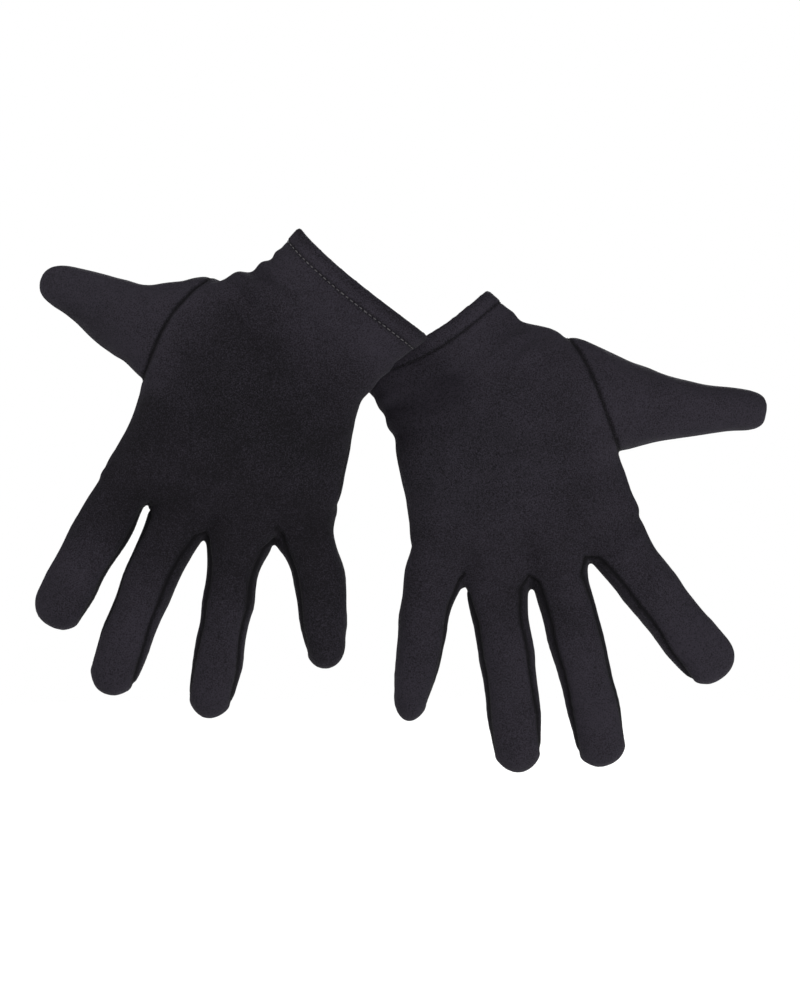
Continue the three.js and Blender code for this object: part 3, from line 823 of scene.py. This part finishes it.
def wrist_folds(glove, p, reach):
    """Rolls of slack cloth that run round the wrist, strongest on the thumb side."""
    start, across, width, _ = cuff_frame(glove)
    s = ((p[:, :2] - start) @ across) / width
    slack = step(10, 17, reach) * (1 - step(24, 52, reach))
    edge = 0.40 + 1.9 * hill(s, 0.14) + 0.9 * hill(s - 1, 0.14)
    stretched = np.column_stack([reach, s * 7.0, p[:, 2] * 0.12])
    roll = FINE.at(stretched + 11, 6.0) + 0.6 * np.sin(reach * 0.62 + 2.0 * s + 2.2 * COARSE.at(p, 22))
    return WRIST_ROLL * slack * edge * roll


def crotch_folds(glove, p, n):
    """Tension folds that run from each crotch into the hand, and the dent behind it."""
    away = np.zeros(len(p))
    for k in range(3):
        a, b = glove["fingers"][FINGERS[k]], glove["fingers"][FINGERS[k + 1]]
        root = (np.array(a["root"]) + np.array(b["root"])) / 2
        d = p[:, :2] - root
        axis = unit(digit_axes(a)[0] + digit_axes(b)[0])
        along, side = -(d @ axis), d @ np.array([-axis[1], axis[0]])
        angle = np.arctan2(side, along + 10)
        fan = np.cos(angle * 9 + 1.5 * k) * hill(np.hypot(side, along) - 9, 8.0) * step(-4, 4, along)
        away += CROTCH_FAN * fan * (0.4 + 0.6 * np.abs(n[:, 2]))
        away -= CROTCH_DENT * hill(side, 4.5) * hill(along - 3, 7.0) * np.abs(n[:, 2])
    return away


def thumb_folds(p, beyond):
    """Diagonal pulls on the hand side of the thumb's seam and rolls on the thumb."""
    pull = np.sin(0.34 * (p[:, 0] * 0.6 + p[:, 1]) + 2.4 * COARSE.at(p + 70, 26))
    rolls = np.sin(beyond * 0.42 + 2.0 * COARSE.at(p + 90, 17))
    on_thumb = step(4, 12, beyond) * (1 - step(30, 50, beyond))
    return THUMB_PULL * hill(beyond + 7, 9.0) * pull + THUMB_ROLL * rolls * on_thumb


def grooves(f, n):
    """The dents where two pieces of cloth are sewn, and the edges of the turned hem."""
    sewn_strip = (f["knuckle"] > -6) | (f["strip"] > -4)
    depth = (0.3 + 0.6 * np.abs(n[:, 2])) * hill(f["thumb"], 0.9)
    depth += np.where(sewn_strip, STRIP_GROOVE * hill(f["strip"], 0.7), 0)
    depth += SIDE_GROOVE * hill(f["middle"], 0.6) * f["side"]
    depth += HEM_GROOVE * hill(f["cuff"] - HEM_WIDTH, 0.7)
    depth -= HEM_STANDS * step(HEM_WIDTH + 0.6, HEM_WIDTH - 0.9, f["cuff"])
    return depth + EDGE_ROUND * (1 - step(0, 1.3, f["cuff"]))


def painted_seam_shade(f):
    """How deep in a seam each point lies, from 0 to 1: painted shade in the seams and at the cuff's edge."""
    sewn_strip = (f["knuckle"] > -6) | (f["strip"] > -4)
    return np.maximum.reduce([
        hill(f["thumb"], 0.9),
        np.where(sewn_strip, hill(f["strip"], 0.8), 0),
        0.30 * step(4.5, 0.5, f["cuff"]),
        hill(f["middle"], 0.6) * f["side"],
        0.55 * hill(f["cuff"] - HEM_WIDTH, 0.8),
    ])


def painted_back_shade(glove, p, f):
    """Painted shade: the back of the hand is painted blacker than the digits and the wrist, which are painted a
    little paler, standing in for how the light falls.
    """
    hand = step(14, 48, f["cuff"]) * step(-2, 24, -f["thumb"])
    for name, share in zip(FINGERS, (1.0, 1.0, 0.9, 0.3)):
        u, v = digit_uv(glove["fingers"][name], p)
        hand *= 1 - share * step(8, 44, u) * step(18, 9, np.abs(v))
    return glove["slack"] * hand - 0.12 * (1 - hand)


# ---- Cloth pieces with thickness ----

def stood_up(p):
    """From the flat layout in millimetres to the frame in metres."""
    return np.column_stack([p[:, 0] - WRIST[0], WRIST[2] - p[:, 2], p[:, 1] - WRIST[1]]) * MM


def turned(n):
    """Directions from the flat layout to the frame."""
    return np.column_stack([n[:, 0], -n[:, 2], n[:, 1]])


def knit_uv(glove, label, p, n, tris):
    """Millimetres across and along the knit for each corner of each triangle."""
    name = digit_of(label)
    u, v = digit_uv(glove["thumb"] if name == "thumb" else glove["fingers"][name or "middle"], p)
    flat = np.abs(n[tris].mean(1)[:, 2]) > 0.62
    across = np.where(flat[:, None], v[tris], p[:, 2][tris] + 3.1)
    return np.stack([across, u[tris]], axis=2)


def cloth_piece(name, glove, skin, label, material):
    """A closed piece of cloth: its outer face, its lining side and its rim."""
    tris = skin["tris"][skin["label"] == label]
    p, tris, n, cuff, shade = compact(skin["p"], tris, skin["n"], skin["cuff"], skin["shade"])
    inner = p - n * (HEM_CLOTH if label == "cuff_hem" else CLOTH)
    rim = rim_edges(tris, len(p))
    at_edge = (cuff[rim] < 0.2).all(1) & (label == "cuff_hem")
    fold = np.unique(rim[at_edge])
    out = np.array([*-cuff_frame(glove)[3], 0.0])
    verts = np.concatenate([p, inner, (p[fold] + inner[fold]) / 2 + out * HEM_ROUND])
    normals = np.concatenate([n, -n, np.tile(out, (len(fold), 1))])
    wall, round_rim = side_walls(rim, at_edge, fold, len(p))
    faces = np.concatenate([tris, tris[:, ::-1] + len(p), wall, round_rim])
    corner, first, w = normals[faces], 2 * len(tris), verts[wall]
    corner[first:first + len(wall)] = unit(np.cross(w[:, 1] - w[:, 0], w[:, 2] - w[:, 0]))[:, None]
    uv, rim_uv = knit_uv(glove, label, p, n, tris), verts[faces[first:]][:, :, :2]
    obj = plain_mesh(name, stood_up(verts), faces, material, turned(corner.reshape(-1, 3)),
                     np.concatenate([uv, uv[:, ::-1], rim_uv]).reshape(-1, 2))
    # The seam attribute carries painted shade: the seams and the back of the hand are painted darker, the
    # digits and the wrist paler.
    attribute = obj.data.attributes.new("seam", "FLOAT", "POINT")
    shade = np.concatenate([shade, shade, np.zeros(len(fold))])
    attribute.data.foreach_set("value", shade.astype(np.float32))
    return obj


def rim_edges(tris, count):
    """The edges around the outline of a piece, in the direction of its faces."""
    directed = directed_edges(tris)
    key = directed[:, 0] * count + directed[:, 1]
    back_key = directed[:, 1] * count + directed[:, 0]
    return directed[~np.isin(key, back_key)]


def side_walls(rim, at_edge, fold, count):
    """Triangles between the two faces: straight walls at the seams, a rounded fold at the cuff's edge."""
    a, b = rim.T
    wall = [np.column_stack([b, a, a + count]), np.column_stack([b, a + count, b + count])]
    wall = np.concatenate([w[~at_edge] for w in wall])
    a, b = rim[at_edge].T
    middle_of = np.full(count, -1)
    middle_of[fold] = 2 * count + np.arange(len(fold))
    ma, mb = middle_of[a], middle_of[b]
    round_rim = np.concatenate([
        np.column_stack([b, a, ma]), np.column_stack([b, ma, mb]),
        np.column_stack([mb, ma, a + count]), np.column_stack([mb, a + count, b + count]),
    ])
    return wall, round_rim


def plain_mesh(name, verts, faces, material, corner_normals, uv):
    """A mesh of smooth triangles with its own normals and knit layout."""
    mesh = bpy.data.meshes.new(name)
    mesh.vertices.add(len(verts))
    mesh.vertices.foreach_set("co", np.ascontiguousarray(verts, np.float32).ravel())
    mesh.loops.add(len(faces) * 3)
    mesh.loops.foreach_set("vertex_index", np.ascontiguousarray(faces, np.int32).ravel())
    mesh.polygons.add(len(faces))
    mesh.polygons.foreach_set("loop_start", np.arange(len(faces), dtype=np.int32) * 3)
    mesh.polygons.foreach_set("use_smooth", np.ones(len(faces), bool))
    mesh.update(calc_edges=True)
    layer = mesh.uv_layers.new(name="Knit")
    layer.data.foreach_set("uv", np.ascontiguousarray(uv * MM, np.float32).ravel())
    mesh.normals_split_custom_set(corner_normals.tolist())
    mesh.materials.append(material)
    return in_scene(name, mesh)


def in_scene(name, data):
    """An object for the data, in the scene."""
    obj = bpy.data.objects.new(name, data)
    bpy.context.scene.collection.objects.link(obj)
    return obj


# ---- Stitches ----

def chains(edges):
    """Ordered runs of vertices through the edges, ending at forks and free ends."""
    near = {}
    for a, b in edges:
        near.setdefault(a, []).append(b)
        near.setdefault(b, []).append(a)
    left = {either_way(a, b) for a, b in edges}
    ends = [v for v, others in near.items() if len(others) != 2] + list(near)
    runs = []
    for start in ends:
        for other in near[start]:
            if either_way(start, other) not in left:
                continue
            run = [start, other]
            left.discard(either_way(start, other))
            while len(near[run[-1]]) == 2:
                following = [v for v in near[run[-1]] if either_way(run[-1], v) in left]
                if not following:
                    break
                left.discard(either_way(run[-1], following[0]))
                run.append(following[0])
            runs.append(run)
    return runs


def evened(line, rounds=6):
    """A line with its small zigzags taken out, ends kept."""
    line = line.copy()
    for _ in range(rounds):
        line[1:-1] = 0.5 * line[1:-1] + 0.25 * (line[:-2] + line[2:])
    return line


def seam_table(tris, name):
    """Each edge where two pieces meet, with the names of both, in both directions."""
    directed = directed_edges(tris)
    owner = np.concatenate([name] * 3)
    size = directed.max() + 1
    key, back = directed[:, 0] * size + directed[:, 1], directed[:, 1] * size + directed[:, 0]
    order = np.argsort(key)
    spot = np.minimum(np.searchsorted(key[order], back), len(key) - 1)
    partner = order[spot]
    meets = (key[partner] == back) & (owner[partner] != owner)
    return list(zip(directed[meets].tolist(), owner[meets], owner[partner][meets]))


def seam_edges(table, first, second):
    """Edges between pieces whose names start with these words, each once."""
    return sorted({either_way(*ends) for ends, one, other in table
                   if one.startswith(first) and other.startswith(second)})


def stitch_tree(thread):
    """Stitches along a curve: a little bar at each step, lying on the cloth."""
    tree = bpy.data.node_groups.new("Stitches", "GeometryNodeTree")
    tree.interface.new_socket("Geometry", in_out="INPUT", socket_type="NodeSocketGeometry")
    for label, value in HEM_STITCH.items():
        kind = "NodeSocketInt" if label == "Seed" else "NodeSocketFloat"
        tree.interface.new_socket(label, in_out="INPUT", socket_type=kind).default_value = value
    tree.interface.new_socket("Geometry", in_out="OUTPUT", socket_type="NodeSocketGeometry")
    node, link = tree.nodes.new, tree.links.new
    given, result = node("NodeGroupInput"), node("NodeGroupOutput")
    outward = node("GeometryNodeInputNamedAttribute")
    outward.data_type = "FLOAT_VECTOR"
    outward.inputs["Name"].default_value = "outward"
    outward = outward.outputs["Attribute"]
    copies = node("GeometryNodeInstanceOnPoints")
    link(stitch_places(tree, given, outward), copies.inputs["Points"])
    link(rounded_bar(tree), copies.inputs["Instance"])
    link(stitch_turn(tree, outward), copies.inputs["Rotation"])
    link(stitch_size(tree, given), copies.inputs["Scale"])
    real, coloured = node("GeometryNodeRealizeInstances"), node("GeometryNodeSetMaterial")
    coloured.inputs["Material"].default_value = thread
    link(copies.outputs["Instances"], real.inputs["Geometry"])
    link(real.outputs["Geometry"], coloured.inputs["Geometry"])
    link(coloured.outputs["Geometry"], result.inputs["Geometry"])
    return tree


def stitch_places(tree, given, outward):
    """Points at even steps along the seam, lifted off the cloth."""
    node, link = tree.nodes.new, tree.links.new
    curve, even = node("GeometryNodeMeshToCurve"), node("GeometryNodeResampleCurve")
    even.mode = "LENGTH"
    link(given.outputs["Geometry"], curve.inputs["Mesh"])
    link(curve.outputs["Curve"], even.inputs["Curve"])
    link(given.outputs["Pitch"], even.inputs["Length"])
    raised = node("GeometryNodeSetPosition")
    link(even.outputs["Curve"], raised.inputs["Geometry"])
    link(scaled(tree, outward, given.outputs["Lift"]), raised.inputs["Offset"])
    return raised.outputs["Geometry"]


def stitch_turn(tree, outward):
    """Turns a bar along the seam, with its side to the cloth."""
    node, link = tree.nodes.new, tree.links.new
    tangent = node("GeometryNodeInputTangent")
    along, facing = node("FunctionNodeAlignRotationToVector"), node("FunctionNodeAlignRotationToVector")
    along.axis, facing.axis, facing.pivot_axis = "Z", "Y", "Z"
    link(tangent.outputs[0], along.inputs["Vector"])
    link(along.outputs["Rotation"], facing.inputs["Rotation"])
    link(outward, facing.inputs["Vector"])
    return facing.outputs["Rotation"]


def stitch_size(tree, given):
    """The size of each stitch, a little different from one to the next."""
    node, link = tree.nodes.new, tree.links.new
    size = node("ShaderNodeCombineXYZ")
    for source, target in (("Thickness", "X"), ("Thickness", "Y"), ("Length", "Z")):
        link(given.outputs[source], size.inputs[target])
    vary = node("FunctionNodeRandomValue")
    vary.data_type = "FLOAT"
    vary.inputs[2].default_value, vary.inputs[3].default_value = STITCH_VARIES
    link(given.outputs["Seed"], vary.inputs["Seed"])
    return scaled(tree, size.outputs[0], vary.outputs[1])


def rounded_bar(tree):
    """A bar one unit long, with its ends drawn in."""
    node, link = tree.nodes.new, tree.links.new
    bar = node("GeometryNodeMeshCylinder")
    for name, value in (("Vertices", 6), ("Side Segments", 4), ("Radius", 0.5), ("Depth", 1.0)):
        bar.inputs[name].default_value = value
    position, parts = node("GeometryNodeInputPosition"), node("ShaderNodeSeparateXYZ")
    link(position.outputs[0], parts.inputs[0])
    along = parts.outputs["Z"]
    shrink = math_node(tree, "MULTIPLY_ADD", math_node(tree, "MULTIPLY", along, along), -2.2, 1.0)
    place = node("ShaderNodeCombineXYZ")
    for axis in ("X", "Y"):
        link(math_node(tree, "MULTIPLY", parts.outputs[axis], shrink), place.inputs[axis])
    link(along, place.inputs["Z"])
    ease = node("GeometryNodeSetPosition")
    link(bar.outputs["Mesh"], ease.inputs["Geometry"])
    link(place.outputs[0], ease.inputs["Position"])
    return ease.outputs["Geometry"]


def scaled(tree, vector, factor):
    """A vector times a number."""
    made = tree.nodes.new("ShaderNodeVectorMath")
    made.operation = "SCALE"
    tree.links.new(vector, made.inputs[0])
    tree.links.new(factor, made.inputs["Scale"])
    return made.outputs[0]


def sewn(name, edges, skin, stitches, sizes):
    """Stitches along the seam edges, as one plain mesh."""
    verts, steps, outward = [], [], []
    for run in chains(edges):
        if len(run) < 5:
            continue
        steps += [(len(verts) + k, len(verts) + k + 1) for k in range(len(run) - 1)]
        verts += stood_up(evened(skin["p"][run])).tolist()
        outward += turned(unit(evened(skin["n"][run]))).tolist()
    mesh = bpy.data.meshes.new(name + "_line")
    mesh.from_pydata(verts, steps, [])
    attribute = mesh.attributes.new("outward", "FLOAT_VECTOR", "POINT")
    attribute.data.foreach_set("vector", np.array(outward, np.float32).ravel())
    guide = in_scene(name + "_line", mesh)
    modifier = guide.modifiers.new("stitches", "NODES")
    modifier.node_group = stitches
    for item in stitches.interface.items_tree:
        if item.in_out == "INPUT" and item.name in sizes:
            modifier[item.identifier] = sizes[item.name]
    made = bpy.data.meshes.new_from_object(guide.evaluated_get(bpy.context.evaluated_depsgraph_get()))
    made.name = name
    made.polygons.foreach_set("use_smooth", np.ones(len(made.polygons), bool))
    bpy.data.objects.remove(guide)
    return in_scene(name, made)


# ---- Finishes ----

def math_node(tree, operation, *values):
    """A sum on numbers and on the outputs of other nodes."""
    made = tree.nodes.new("ShaderNodeMath")
    made.operation = operation
    for value, socket in zip(values, made.inputs):
        if isinstance(value, (int, float)):
            socket.default_value = value
        else:
            tree.links.new(value, socket)
    return made.outputs[0]


def two_tone(tree, factor, dark, light):
    """Colours the shader between a dark and a light tone."""
    tint = tree.nodes.new("ShaderNodeMix")
    tint.data_type = "RGBA"
    tint.inputs["A"].default_value = (*dark, 1)
    tint.inputs["B"].default_value = (*light, 1)
    tree.links.new(factor, tint.inputs["Factor"])
    tree.links.new(tint.outputs["Result"], tree.nodes["Principled BSDF"].inputs["Base Color"])


def bumped(tree, height, strength, distance, under=None):
    """A bump on the surface, over another one where there is one."""
    made = tree.nodes.new("ShaderNodeBump")
    made.inputs["Strength"].default_value, made.inputs["Distance"].default_value = strength, distance
    tree.links.new(height, made.inputs["Height"])
    if under is not None:
        tree.links.new(under, made.inputs["Normal"])
    return made.outputs[0]


def speckle(tree, scale, detail):
    """Random spots on the object's own coordinates."""
    place, noise = tree.nodes.new("ShaderNodeTexCoord"), tree.nodes.new("ShaderNodeTexNoise")
    noise.inputs["Scale"].default_value, noise.inputs["Detail"].default_value = scale, detail
    tree.links.new(place.outputs["Object"], noise.inputs["Vector"])
    return noise.outputs[0]


def knit_height(tree):
    """Rows of plain knit: each wale is a column of V-shaped loops."""
    uv = tree.nodes.new("ShaderNodeUVMap")
    uv.uv_map = "Knit"
    parts = tree.nodes.new("ShaderNodeSeparateXYZ")
    tree.links.new(uv.outputs[0], parts.inputs[0])
    wale = math_node(tree, "DIVIDE", parts.outputs["X"], WALE)
    column = math_node(tree, "ABSOLUTE", math_node(tree, "SUBTRACT", math_node(tree, "FRACT", wale), 0.5))
    course = math_node(tree, "DIVIDE", parts.outputs["Y"], COURSE)
    leg = math_node(tree, "FRACT", math_node(tree, "ADD", course, math_node(tree, "MULTIPLY", column, 1.1)))
    loop = math_node(tree, "SINE", math_node(tree, "MULTIPLY", leg, math.pi))
    rib = math_node(tree, "SINE", math_node(tree, "MULTIPLY", column, math.pi * 2))
    return math_node(tree, "MULTIPLY", loop, rib)


def knit(name, colour, lighter):
    """Matte black stretch knit with a soft bloom of fibres, and painted shade in the seams, between its loops
    and on the back of the hand.
    """
    material = bpy.data.materials.new(name)
    material.use_nodes = True
    tree = material.node_tree
    shader = tree.nodes["Principled BSDF"]
    height = knit_height(tree)
    cloud, grain = speckle(tree, scale=55.0, detail=3.0), speckle(tree, scale=1900.0, detail=1.5)
    shade = math_node(tree, "MULTIPLY_ADD", cloud, 0.70, -1.12)
    shade = math_node(tree, "MULTIPLY_ADD", grain, 2.50, shade)
    # Painted shade: the cloth is painted darker in the hollows between the knit's loops.
    shade = math_node(tree, "MULTIPLY_ADD", height, 0.32, shade)
    # Painted shade from the seam attribute: darker in the seams and on the back of the hand, paler on the
    # digits and the wrist.
    painted_shade_in = tree.nodes.new("ShaderNodeAttribute")
    painted_shade_in.attribute_name = "seam"
    shade = math_node(tree, "MULTIPLY_ADD", painted_shade_in.outputs["Fac"], -1.0, shade)
    shade = math_node(tree, "MINIMUM", math_node(tree, "MAXIMUM", shade, 0.0), 1.0)
    two_tone(tree, shade, [c * 0.30 for c in colour], [c * lighter for c in colour])
    tree.links.new(math_node(tree, "MULTIPLY_ADD", cloud, 0.16, 0.74), shader.inputs["Roughness"])
    shader.inputs["Specular IOR Level"].default_value = 0.09
    shader.inputs["Sheen Weight"].default_value = 0.03
    shader.inputs["Sheen Roughness"].default_value = 0.45
    shader.inputs["Sheen Tint"].default_value = (0.80, 0.78, 0.86, 1)
    uneven = bumped(tree, cloud, strength=0.35, distance=0.0004)
    loops = bumped(tree, height, strength=0.55, distance=0.00016, under=uneven)
    tree.links.new(loops, shader.inputs["Normal"])
    return material


def thread(name, colour, shine):
    """Spun sewing thread, with its twist as a fine bump."""
    material = bpy.data.materials.new(name)
    material.use_nodes = True
    tree = material.node_tree
    shader = tree.nodes["Principled BSDF"]
    twist = speckle(tree, scale=2600.0, detail=2.0)
    two_tone(tree, twist, [c * 0.55 for c in colour], [c * 1.35 for c in colour])
    tree.links.new(bumped(tree, twist, strength=0.5, distance=0.0001), shader.inputs["Normal"])
    shader.inputs["Roughness"].default_value = 0.6
    shader.inputs["Specular IOR Level"].default_value = shine
    shader.inputs["Sheen Weight"].default_value = shine * 0.4
    return material


# ---- One glove ----

def glove_skin(glove):
    """The whole glove as one skin around the hand and its digits."""
    digits = [glove["thumb"], *glove["fingers"].values()]
    parts = [closed_loft(hand_rings(glove)), *[closed_loft(digit_rings(digit)) for digit in digits]]
    points, tris = remeshed(parts)
    points = deepened(glove, smoothed(points, tris, rounds=8), tris)
    points = levelled(glove, points, tris)
    return smoothed(points, tris, rounds=3), tris


def cut_skin(glove, points, tris):
    """The skin with vertices along every seam, without what lies beyond the cuff's edge."""
    line, forward = knuckle_line(glove)
    points, tris = cut(points, tris, cuff_field(glove, points))
    keep = cuff_field(glove, points)[tris].mean(1) > 0
    points, tris = compact(points, tris[keep])
    lines = [("cuff", HEM_WIDTH), ("thumb", 0), ("knuckle", 0), ("strip", 0), ("middle", 0)]
    lines += [("cuff", level) for level in (HEM_WIDTH + 0.8, HEM_WIDTH - 0.8, 1.0)]
    lines += [("thumb", 0.9), ("thumb", -0.9)]
    for field, level in lines:
        points, tris = cut(points, tris, fields(glove, points, line, forward)[field] - level)
    return points, tris, line, forward


def attach(piece, side, digit_name):
    """Lets a piece of the hand follow its hand; a piece on a digit only has its place baked into its mesh."""
    hand = side + "_hand"
    if digit_name is None:
        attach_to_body(piece, hand)
    else:
        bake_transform(piece)


def digit_of(label):
    """The digit that a piece is on, or None for a piece of the hand."""
    return next((name for name in ("thumb", *FINGERS) if label.startswith(name)), None)


def finish_of(side, label):
    """The finish of a piece."""
    if label == "cuff_hem":
        return side + "_hem"
    return side + ("_side_cloth" if "strip" in label or "web" in label else "_cloth")


def sew_glove(side, glove, finishes, stitches):
    """Cuts a glove's skin into its pieces of cloth and sews them."""
    flat, tris, line, forward = cut_skin(glove, *glove_skin(glove))
    label = tidied_labels(tris, labelled(glove, flat, tris, line, forward))
    f = fields(glove, flat, line, forward)
    n = vertex_normals(flat, tris)
    f["side"] = side_of_seam(glove, n)
    p = flat + n * swell(glove, flat, n, f)[:, None]
    # shade: painted shade of the seams and of the back of the hand, for the cloth's colour.
    skin = {"p": p, "n": vertex_normals(p, tris), "tris": tris, "label": label, "cuff": f["cuff"],
            "shade": painted_seam_shade(f) + painted_back_shade(glove, flat, f)}
    for part in sorted(set(label)):
        slot = finish_of(side, part)
        piece = cloth_piece(f"{side}_{part}_cloth", glove, skin, part, finishes[slot])
        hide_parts(f"{side}_{part}")
        attach(piece, side, digit_of(part))
    stitch_glove(side, skin, stitches)


def side_of_seam(glove, n):
    """1 where the side seam runs: the little-finger side of the hand, and the sides of three fingers."""
    along = unit(sum(digit_axes(glove["fingers"][name])[0] for name in FINGERS))
    little = glove["fingers"]["little"]
    outward = np.array([-along[1], along[0]])
    if outward @ digit_axes(little)[1] * little["sides"][0] > 0:
        outward = -outward
    return step(0.35, 0.75, n[:, :2] @ outward)


def stitch_glove(side, skin, stitches):
    """Sews the hem, the thumb, the webs and the finger seams."""
    table = seam_table(skin["tris"], skin["label"])
    hem = seam_edges(table, "cuff_hem", "")
    piece = sewn(f"{side}_hem_stitches", hem, skin, stitches[side + "_hem"], HEM_STITCH)
    attach(piece, side, None)
    hand = seam_edges(table, "thumb", "trank") + seam_edges(table, "web", "trank")
    piece = sewn(f"{side}_hand_stitches", hand, skin, stitches["seam"], HAND_STITCH)
    attach(piece, side, None)
    for finger in FINGERS:
        edges = seam_edges(table, finger, finger)
        piece = sewn(f"{side}_{finger}_stitches", edges, skin, stitches["seam"], FINGER_STITCH)
        attach(piece, side, finger)


# ---- The floor, the lights and the camera ----

def set_camera():
    """Straight at the backs of the gloves."""
    camera = bpy.data.cameras.new("Camera")
    camera.lens, camera.sensor_width = 101.1, 36.0
    camera.clip_end = 20.0
    obj = in_scene("Camera", camera)
    obj.location = (-0.0089, -1.1903, -0.0725)
    obj.rotation_euler = (math.pi / 2, 0, 0)
    bpy.context.scene.camera = obj


def set_floor():
    """A round pale floor below the fingertips that fades out into the white around it."""
    mesh = bpy.data.meshes.new("floor")
    bm = bmesh.new()
    bmesh.ops.create_circle(bm, cap_ends=True, radius=FLOOR_RADIUS, segments=96)
    bmesh.ops.translate(bm, verts=bm.verts, vec=(0, 0, FLOOR_HEIGHT))
    bm.to_mesh(mesh)
    bm.free()
    material = bpy.data.materials.new("pale_floor")
    material.use_nodes = True
    tree = material.node_tree
    shader = tree.nodes["Principled BSDF"]
    shader.inputs["Base Color"].default_value = (0.30, 0.30, 0.30, 1)
    shader.inputs["Roughness"].default_value = 0.9
    shader.inputs["Emission Color"].default_value = (1, 1, 1, 1)
    shader.inputs["Emission Strength"].default_value = 0.80
    place, reach = tree.nodes.new("ShaderNodeTexCoord"), tree.nodes.new("ShaderNodeVectorMath")
    reach.operation = "LENGTH"
    tree.links.new(place.outputs["Object"], reach.inputs[0])
    fade = tree.nodes.new("ShaderNodeMapRange")
    fade.interpolation_type = "SMOOTHSTEP"
    for name, value in (("From Min", 0.85), ("From Max", 1.55), ("To Min", 1.0), ("To Max", 0.0)):
        fade.inputs[name].default_value = value
    tree.links.new(reach.outputs["Value"], fade.inputs["Value"])
    tree.links.new(fade.outputs[0], shader.inputs["Alpha"])
    mesh.materials.append(material)
    in_scene("floor", mesh)


def set_light(name, location, target, size, power):
    """A round softbox that faces its target."""
    light = bpy.data.lights.new(name, "AREA")
    light.shape, light.size, light.energy = "DISK", size, power
    obj = in_scene(name, light)
    obj.location = location
    obj.rotation_euler = (Vector(target) - Vector(location)).to_track_quat("-Z", "Y").to_euler()


def set_studio():
    """A white world that gives little light of its own, and five softboxes."""
    world = bpy.data.worlds.new("white")
    world.use_nodes = True
    tree = world.node_tree
    seen, glow = tree.nodes["Background"], tree.nodes.new("ShaderNodeBackground")
    path, choice = tree.nodes.new("ShaderNodeLightPath"), tree.nodes.new("ShaderNodeMixShader")
    seen.inputs["Color"].default_value = glow.inputs["Color"].default_value = (1, 1, 1, 1)
    seen.inputs["Strength"].default_value, glow.inputs["Strength"].default_value = 1.0, 0.12
    tree.links.new(path.outputs["Is Camera Ray"], choice.inputs[0])
    tree.links.new(glow.outputs[0], choice.inputs[1])
    tree.links.new(seen.outputs[0], choice.inputs[2])
    tree.links.new(choice.outputs[0], tree.nodes["World Output"].inputs["Surface"])
    bpy.context.scene.world = world
    bpy.context.scene.view_settings.view_transform = "Standard"
    set_light("front_softbox", (0.25, -1.6, 0.25), (0.02, 0, -0.08), size=0.7, power=4.6)
    set_light("left_softbox", (-0.42, -0.30, 0.40), (-0.14, 0, 0.03), size=0.30, power=3.2)
    set_light("right_softbox", (0.80, -0.70, -0.10), (0.12, 0, -0.10), size=0.6, power=10)
    set_light("low_softbox", (-0.45, -0.35, -0.55), (-0.10, 0, -0.17), size=0.35, power=2.4)
    set_light("back_softbox", (0.2, 1.4, 0.5), (0, 0, -0.08), size=0.8, power=16)


# ---- The pair ----

finishes = {}
for side in GLOVES:
    finishes[side + "_cloth"] = knit(side + "_black_knit", BLACK, 1.9)
    finishes[side + "_side_cloth"] = knit(side + "_black_side_knit", [c * 0.9 for c in BLACK], 1.8)
    finishes[side + "_hem"] = knit(side + "_black_hem_knit", [c * 1.05 for c in BLACK], 1.9)
grey = stitch_tree(thread("grey_thread", (0.060, 0.057, 0.061), 0.4))
black = stitch_tree(thread("black_thread", (0.0045, 0.0040, 0.0050), 0.06))
stitches = {"left_hem": grey, "right_hem": black, "seam": black}
set_camera()
set_floor()
set_studio()
for side, glove in GLOVES.items():
    sew_glove(side, glove, finishes, stitches)
